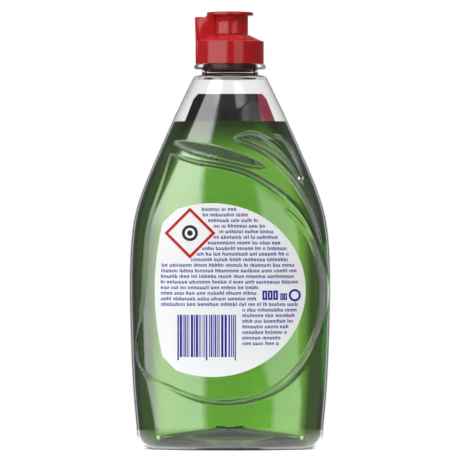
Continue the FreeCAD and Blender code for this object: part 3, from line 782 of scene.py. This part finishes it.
def stroke_row(chance, left, right, z):
    """Strokes of one row: uprights and pairs joined at the top or foot, in clusters with gaps between."""
    strokes = []
    x, height, stroke = left, STROKE_HEIGHT, STROKE_WIDTH
    while x < right - 1.2 * height:
        for _ in range(chance.randint(*CLUSTER_SIZE)):
            width = height * chance.choice(STROKE_SPANS)
            if x + width + stroke > right:
                break
            tall = height * chance.choice(STROKE_TALLS)
            strokes += block(x, x + stroke, z, z + tall)
            if width:
                strokes += block(x + width, x + width + stroke, z, z + height)
                bar = z + height - stroke if chance.random() < 0.6 else z
                strokes += block(x + stroke, x + width, bar, bar + stroke)
            x += width + stroke + STROKE_GAP * height
        x += CLUSTER_GAP * height
    return strokes


def back_label_rows(seed):
    """Strokes of the small rows, round the diamond, bars and bold marks."""
    chance = random.Random(seed)
    strokes = []
    z = LABEL_CENTRE[1] + LABEL_HALF[1] - ROW_MARGINS[2]
    while z > SIDE_COLUMN[2]:
        left = float(label_left(z)) + ROW_MARGINS[0]
        right = float(label_right(z + STROKE_HEIGHT)) - ROW_MARGINS[1]
        if abs(z - DIAMOND[1]) < DIAMOND_REACH + ROW_TO_BLOCK:
            left = max(left, DIAMOND[0] + DIAMOND_REACH + ROW_TO_DIAMOND - abs(z - DIAMOND[1]))
        if z > DIAMOND[1] + DIAMOND_REACH - 3:
            left = max(left, TOP_ROWS_LEFT)
        if MARKS[2] - 1.8 < z < MARKS[3] + 0.6:
            right = MARKS[0] - ROW_TO_BLOCK
        if z < BARS[3] + ROW_TO_BLOCK:
            left, right = max(left, SIDE_COLUMN[0]), min(right, SIDE_COLUMN[1])
        if right - left > SHORTEST_ROW:
            strokes += stroke_row(chance, left, right, z)
        z -= ROW_PITCH
    return strokes


def bar_block(seed):
    """Upright bars of many widths, longer at the ends and the middle."""
    chance = random.Random(seed)
    x0, x1, z0, z1 = BARS
    bars, x = [], x0
    while x < x1 - 0.3:
        wide = chance.choice(BAR_WIDTHS)
        longer = x == x0 or abs(x - (x0 + x1) / 2) < 0.7 or x > x1 - 1.2
        bars += block(x, min(x + wide, x1), z0 - (LONG_BAR_DROP if longer else 0), z1)
        x += wide + chance.choice(BAR_GAPS)
    return bars


def open_block(x, z, width, height):
    """An upright open block with heavy strokes."""
    stroke = width * 0.4
    right, top = x + width, z + height
    return (block(x, x + stroke, z, top) + block(right - stroke, right, z, top)
            + block(x + stroke, right - stroke, z, z + stroke)
            + block(x + stroke, right - stroke, top - stroke, top))


def diamond_patches():
    """A square frame standing on its corner, cut into short lengths."""
    def frame_at(size):
        corners = np.array([(0, size), (size, 0), (0, -size), (-size, 0)], float) + DIAMOND
        return np.vstack([np.linspace(a, b, 6)[:-1] for a, b in zip(corners, np.roll(corners, -1, axis=0))])
    return band(frame_at(DIAMOND_REACH), frame_at(DIAMOND_REACH - DIAMOND_BAND))


class SOAP_OT_back_label(bpy.types.Operator):
    """Lays the white film and its print in the back panel"""
    bl_idname = "soap.stick_back_label"
    bl_label = "Stick back label"

    def execute(self, context):
        settings = context.scene.soap_labels
        film = sheet_on_wall("back_film", back_label_outline(), FILM_SEAT, FILM, -1,
                             film_finish("white label film", settings.film_colour))
        lit = film_finish("lit side of the film", settings.film_colour, settings.film_glow)
        add_second_finish(film, lit, [face.normal.y > 0.5 for face in film.data.polygons])
        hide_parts("back_label")
        marks = [patch for x, width, height in MARK_BLOCKS
                 for patch in open_block(MARKS[0] + x, MARKS[2], width, height)]
        marks += round_band(ROUND_MARK, *ROUND_MARK_RING)
        icon = round_band(DIAMOND, *ICON_RING) + round_band(DIAMOND, *ICON_DISC)
        navy = ink_finish("navy ink", settings.ink_colour)
        red = ink_finish("red ink", settings.red_colour)
        black = ink_finish("black ink", (0.02, 0.02, 0.02))
        prints = (("back_rows", back_label_rows(settings.seed), navy),
                  ("back_bars", bar_block(settings.seed), navy), ("back_marks", marks, navy),
                  ("back_diamond", diamond_patches(), red), ("back_badge", icon, black))
        pieces = [film]
        for name, patches, finish in prints:
            pieces.append(prints_on_film(name, patches, -1, finish))
        for piece in pieces:
            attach(piece, "filled_bottle")
        return {"FINISHED"}


class SOAP_OT_front_label(bpy.types.Operator):
    """Lays the clear film with its printed fields, and a sheet of painted shade under the head, on the front
    wall
    """
    bl_idname = "soap.stick_front_label"
    bl_label = "Stick front label"

    def execute(self, context):
        settings = context.scene.soap_labels
        film = sheet_on_wall("front_film", FRONT_OUTLINE, FILM_SEAT, FILM, 1, clear_film_finish())
        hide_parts("front_label")
        pieces = [film]
        for name, outline, finish in (
                ("front_head", FRONT_HEAD, ink_finish("dark head ink", settings.head_colour)),
                # painted shade: a dark sheet that fades out below the head
                ("front_painted_shade_sheet", FRONT_PAINTED_SHADE, painted_shade_finish(scaled(settings.head_colour, 1.5), *FRONT_SHADE_FADE)),
                ("front_corner", FRONT_CORNER, see_through_ink_finish(settings.corner_colour)),
                ("front_plate", ellipse_points(PLATE_CENTRE, *PLATE_HALF),
                 film_finish("printed white", settings.film_colour))):
            pieces.append(sheet_on_wall(name, outline, FILM_SEAT + FILM, PRINT, 1, finish))
        rim = band(*(ellipse_points(PLATE_CENTRE, *half) for half in PLATE_RIM))
        red = ink_finish("front red ink", settings.red_colour)
        pieces.append(prints_on_film("front_plate_rim", rim, 1, red))
        for piece in pieces:
            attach(piece, "filled_bottle")
        return {"FINISHED"}


def smoothed_copy(node, name):
    """The node's own mesh, welded, with soft normals on its rounded faces."""
    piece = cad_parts[node].copy()
    piece.data = piece.data.copy()
    piece.name = name
    bpy.context.scene.collection.objects.link(piece)
    welded = bmesh.new()
    welded.from_mesh(piece.data)
    bmesh.ops.remove_doubles(welded, verts=welded.verts, dist=1e-7)
    welded.to_mesh(piece.data)
    welded.free()
    piece.data.materials.clear()
    piece.data.shade_smooth()
    piece.data.set_sharp_from_angle(angle=math.radians(30))
    even = piece.modifiers.new("flat faces", "WEIGHTED_NORMAL")
    even.weight = 100
    even.keep_sharp = True
    return piece


class SOAP_OT_closure(bpy.types.Operator):
    """Moulds the red cap with its thumb guard, and the spout that pulls up"""
    bl_idname = "soap.mould_closure"
    bl_label = "Mould closure"

    def execute(self, context):
        settings = context.scene.soap_closure
        finish = closure_finish("red closure plastic", settings.closure_colour, settings.closure_roughness)
        # Painted shade: the plug's faces inside the neck get a darker red than the rest of the closure
        shaded = closure_finish("plug plastic with painted shade", scaled(settings.closure_colour, PLUG_PAINTED_SHADE), 0.3)
        for node, body in (("cap_base", "filled_bottle"), ("pull_spout", "spout")):
            piece = smoothed_copy(node, f"{node}_moulded")
            piece.data.materials.append(finish)
            lowest = [min(piece.data.vertices[i].co.z for i in face.vertices) for face in piece.data.polygons]
            add_second_finish(piece, shaded, [z < PLUG_TOP_Z * MM for z in lowest])
            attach(piece, body)
            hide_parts(node)
        return {"FINISHED"}


class SOAP_OT_studio(bpy.types.Operator):
    """Sets the pale floor, the soft light all round and the level camera"""
    bl_idname = "soap.set_studio"
    bl_label = "Set studio"

    def execute(self, context):
        settings = context.scene.soap_studio
        context.scene.view_settings.view_transform = "Standard"
        context.scene.world = studio_world(settings)
        bpy.ops.mesh.primitive_circle_add(vertices=96, radius=FLOOR_RADIUS, fill_type="NGON",
                                          location=(0, 0, -FLOOR_DROP))
        floor = context.active_object
        floor.name = "floor"
        floor.data.materials.append(floor_finish())
        rear = bpy.data.objects.new("rear box", bpy.data.lights.new("rear box", "AREA"))
        rear.data.size = REAR_BOX_SIZE
        rear.data.energy = settings.rear_box
        rear.location = REAR_BOX_PLACE
        aim = Vector((0, 0, settings.camera_height)) - rear.location
        rear.rotation_euler = aim.to_track_quat("-Z", "Y").to_euler()
        rear.visible_glossy = rear.visible_transmission = rear.visible_camera = False
        context.scene.collection.objects.link(rear)
        lens = bpy.data.cameras.new("camera")
        lens.lens = lens.sensor_width * settings.camera_distance / settings.frame_width
        lens.clip_end = 50.0
        camera = bpy.data.objects.new("camera", lens)
        camera.location = (0, -settings.camera_distance, settings.camera_height)
        camera.rotation_euler = (math.pi / 2, 0, 0)
        context.scene.collection.objects.link(camera)
        context.scene.camera = camera
        return {"FINISHED"}


class Value:
    """A value in a node tree, with plain arithmetic."""

    def __init__(self, tree, socket):
        self.tree, self.socket = tree, socket

    def do(self, operation, *others):
        """This value put through a math node, with others where it needs them."""
        node = add_node(self.tree, "ShaderNodeMath")
        node.operation = operation
        for entry, value in zip(node.inputs, (self, *others)):
            if isinstance(value, Value):
                self.tree.links.new(value.socket, entry)
            else:
                entry.default_value = value
        return Value(self.tree, node.outputs["Value"])

    def __add__(self, other):
        return self.do("ADD", other)

    def __sub__(self, other):
        return self.do("SUBTRACT", other)

    def __rsub__(self, other):
        return self.do("MULTIPLY_ADD", -1.0, other)

    def __mul__(self, other):
        return self.do("MULTIPLY", other)

    def window(self, low, high, soft):
        """1 between low and high and 0 outside, with soft edges."""
        def ramp(middle):
            node = add_node(self.tree, "ShaderNodeMapRange", From_Min=middle - soft, From_Max=middle + soft)
            node.interpolation_type = "SMOOTHSTEP"
            self.tree.links.new(self.socket, node.inputs["Value"])
            return Value(self.tree, node.outputs["Result"])
        return ramp(low) * (1.0 - ramp(high))


def studio_world(settings):
    """White to the camera. To all else a grey room with the windows of light."""
    world = bpy.data.worlds.new("studio")
    world.use_nodes = True
    tree, link = world.node_tree, world.node_tree.links.new
    split = add_node(tree, "ShaderNodeSeparateXYZ")
    link(add_node(tree, "ShaderNodeTexCoord").outputs["Generated"], split.inputs["Vector"])
    x, y, z = (Value(tree, split.outputs[axis]) for axis in "XYZ")
    turn = x.do("ARCTAN2", y * -1.0).do("DEGREES")
    rise = z.do("ARCSINE").do("DEGREES")
    around = turn.do("ABSOLUTE")
    up = rise.do("MAXIMUM", 0.0)
    down = (LOW_RISE - rise).do("MAXIMUM", 0.0)

    outer = turn - up * LEFT_SLANT_UP - down * LEFT_SLANT_DOWN
    inner = turn + up * up * LEFT_SLANT_INNER
    left = outer.window(*LEFT_TURN) * inner.window(*LEFT_INNER_TURN) * rise.window(*LEFT_RISE)
    left *= rise.window(*LEFT_TOP_RISE) * LEFT_TOP_GAIN + 1.0
    outward = down.do("MINIMUM", RIGHT_SLANT[0]) * RIGHT_SLANT[1]
    right = (turn - outward).window(*RIGHT_TURN) * rise.window(*RIGHT_RISE)
    overhead = around.window(*OVERHEAD_TURN) * rise.window(*OVERHEAD_RISE)
    behind = around.window(*BEHIND_TURN) * rise.window(*BEHIND_RISE)
    above = rise.window(*ABOVE_RISE)
    light = left * settings.left_box + settings.room
    for window, strength in ((right, settings.right_box), (overhead, settings.overhead),
                             (behind, 1.0 - settings.room), (above, 1.0 - settings.room)):
        light += window * strength

    mix = add_node(tree, "ShaderNodeMix", B=1.0)
    link(add_node(tree, "ShaderNodeLightPath").outputs["Is Camera Ray"], mix.inputs["Factor"])
    link(light.socket, mix.inputs["A"])
    link(mix.outputs["Result"], set_inputs(tree.nodes["Background"], Color=(1, 1, 1, 1)).inputs["Strength"])
    return world


def floor_finish():
    """A pale floor that shows white to the camera, glass and gloss, but keeps the bottle's shadow, with a
    painted shadow under the bottle where it does not glow.
    """
    finish = Finish("pale floor").set(Roughness=0.9, Specular_IOR_Level=0.1, Emission_Color=(1, 1, 1, 1))
    finish.tint(finish.noise(6.0), (0.8, 0.8, 0.8), (0.84, 0.84, 0.84))
    path = add_node(finish.tree, "ShaderNodeLightPath")
    camera, glossy, transmission = (Value(finish.tree, path.outputs[f"Is {kind} Ray"])
                                    for kind in ("Camera", "Glossy", "Transmission"))
    place = add_node(finish.tree, "ShaderNodeSeparateXYZ")
    finish.link(finish.place, place.inputs["Vector"])
    across, deep = (Value(finish.tree, place.outputs[axis]).do("DIVIDE", half)
                    for axis, half in zip("XY", FLOOR_SHADE))
    reach = across * across + deep * deep
    seen = camera.do("MAXIMUM", glossy.do("MAXIMUM", transmission) * (1.0 - reach.window(*FLOOR_FAR)))
    # Painted shadow: no glow inside the ellipse under the bottle
    glow = seen * reach.window(*FLOOR_WHITE) * FLOOR_GLOW
    finish.link(glow.socket, finish.shader.inputs["Emission Strength"])
    return finish.material


class SOAP_PT_panel(bpy.types.Panel):
    """Lists the bottle's settings and operators"""
    bl_label = "Dish Soap Bottle"
    bl_idname = "SOAP_PT_panel"
    bl_space_type = "VIEW_3D"
    bl_region_type = "UI"
    bl_category = "Dish Soap"

    def draw(self, context):
        for title, group, operators in STEPS:
            box = self.layout.box()
            box.label(text=title)
            settings = getattr(context.scene, group)
            for name in settings.__annotations__:
                box.prop(settings, name)
            for operator in operators:
                box.operator(operator)


STEPS = (
    ("Bottle and liquid", "soap_bottle", ("soap.blow_bottle", "soap.pour_liquid")),
    ("Labels", "soap_labels", ("soap.stick_back_label", "soap.stick_front_label")),
    ("Closure", "soap_closure", ("soap.mould_closure",)),
    ("Studio", "soap_studio", ("soap.set_studio",)))
GROUPS = {"soap_bottle": BottleSettings, "soap_labels": LabelSettings, "soap_closure": ClosureSettings,
          "soap_studio": StudioSettings}
CLASSES = (*GROUPS.values(), SOAP_OT_wall, SOAP_OT_liquid, SOAP_OT_back_label, SOAP_OT_front_label,
           SOAP_OT_closure, SOAP_OT_studio, SOAP_PT_panel)


def register():
    for each in CLASSES:
        bpy.utils.register_class(each)
    for name, group in GROUPS.items():
        setattr(bpy.types.Scene, name, PointerProperty(type=group))


def unregister():
    for name in GROUPS:
        delattr(bpy.types.Scene, name)
    for each in reversed(CLASSES):
        bpy.utils.unregister_class(each)


def main():
    register()
    bpy.ops.soap.blow_bottle()
    bpy.ops.soap.pour_liquid()
    bpy.ops.soap.stick_back_label()
    bpy.ops.soap.stick_front_label()
    bpy.ops.soap.mould_closure()
    bpy.ops.soap.set_studio()


if __name__ == "__main__":
    main()
